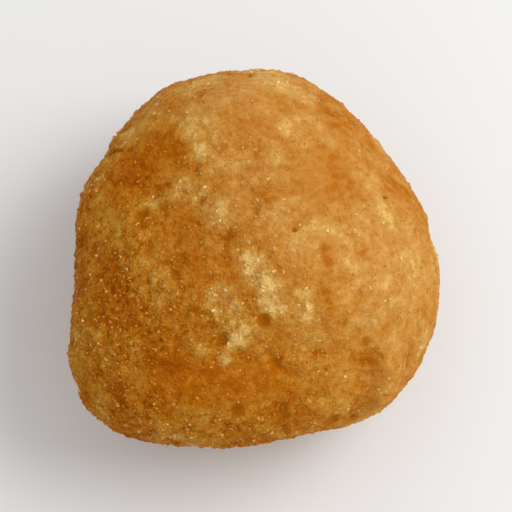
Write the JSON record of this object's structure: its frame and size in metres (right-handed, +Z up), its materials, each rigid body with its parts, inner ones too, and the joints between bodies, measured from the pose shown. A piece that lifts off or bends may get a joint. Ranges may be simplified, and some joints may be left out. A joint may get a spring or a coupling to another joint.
{
  "type": "jaggery lump",
  "caption": "Rounded hand-pressed lump of golden-brown raw cane sugar with a grainy crust, standing on a small flat spot.",
  "frame": {"origin": "middle of the base, on the surface the lump stands on", "axes": "+Z up; +Y along the lump's longest extent, away from the viewer; +X to the viewer's right"},
  "size_m": [0.0528, 0.0568, 0.047],
  "materials": {
    "jaggery": "matte"
  },
  "bodies": {
    "root": {"jaggery_lump": "jaggery"}
  },
  "joints": []
}
